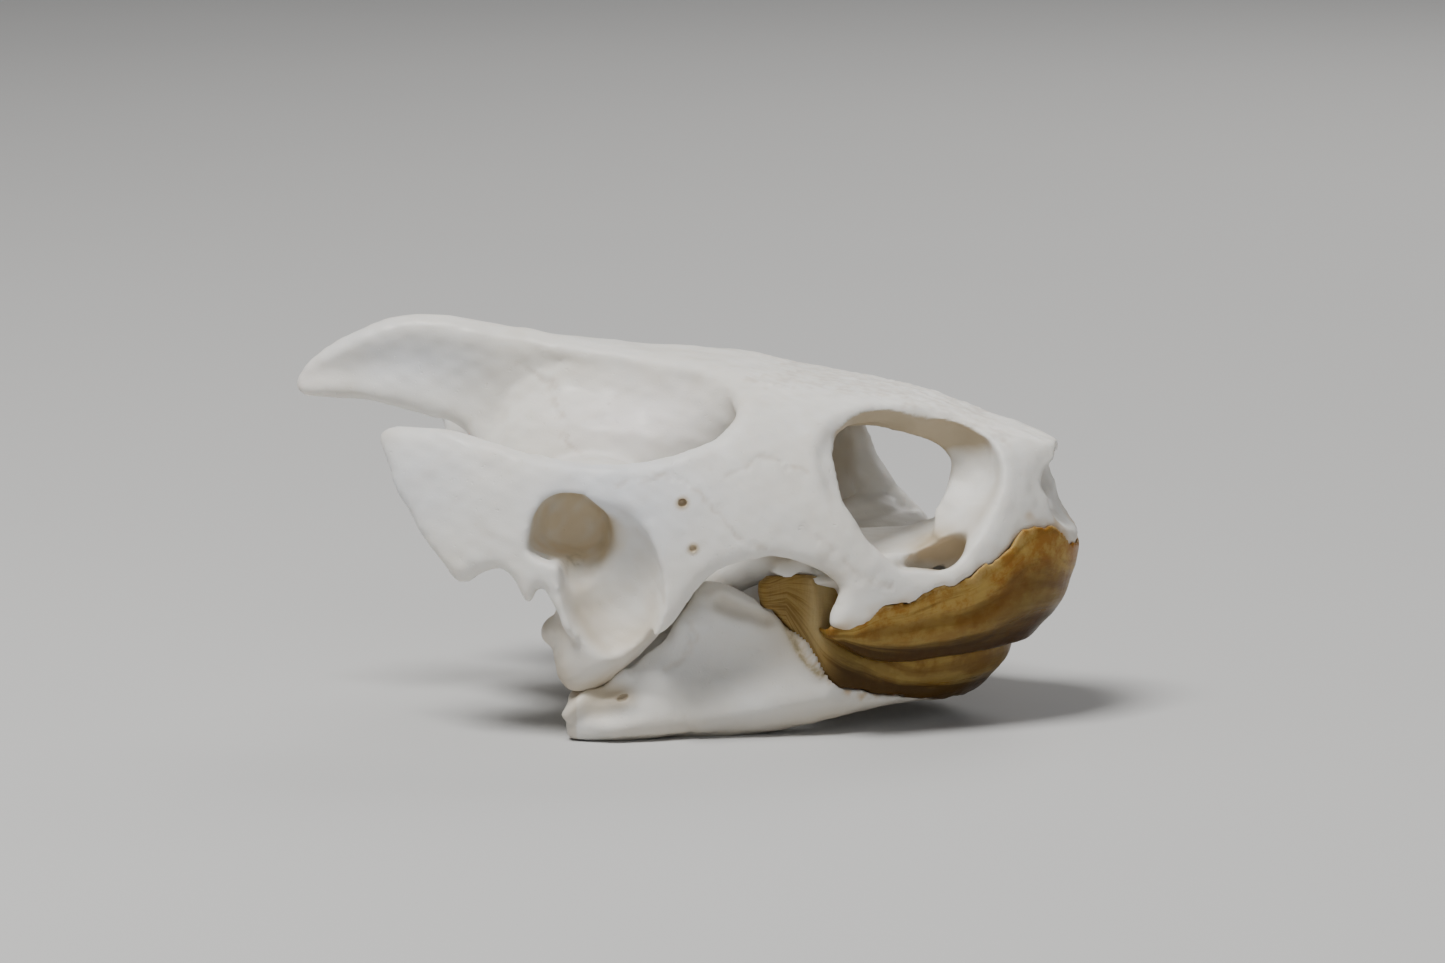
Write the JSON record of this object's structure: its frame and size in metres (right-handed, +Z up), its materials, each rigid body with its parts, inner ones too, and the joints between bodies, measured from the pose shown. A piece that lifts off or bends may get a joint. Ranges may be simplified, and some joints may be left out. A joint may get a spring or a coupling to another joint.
{
  "type": "turtle skull",
  "caption": "Turtle skull with its lower jaw closed and the horny beak on both jaws, resting on the lower jaw.",
  "frame": {"origin": "on the ground under the middle of the skull's bounding box", "axes": "+X towards the snout along the skull, +Y to the animal's left, +Z up"},
  "size_m": [0.0482, 0.0284, 0.0241],
  "materials": {
    "cranium_bone": "dry ivory-white bone, satin",
    "jaw_bone": "dry ivory-white bone, satin",
    "upper_horn": "amber brown horn, semi-gloss",
    "lower_horn": "yellow-brown horn with fine striations, semi-gloss"
  },
  "bodies": {
    "root": {"cranium": "cranium_bone", "mandible": "jaw_bone", "upper_beak_sheath": "upper_horn", "lower_beak_sheath": "lower_horn"}
  },
  "joints": []
}
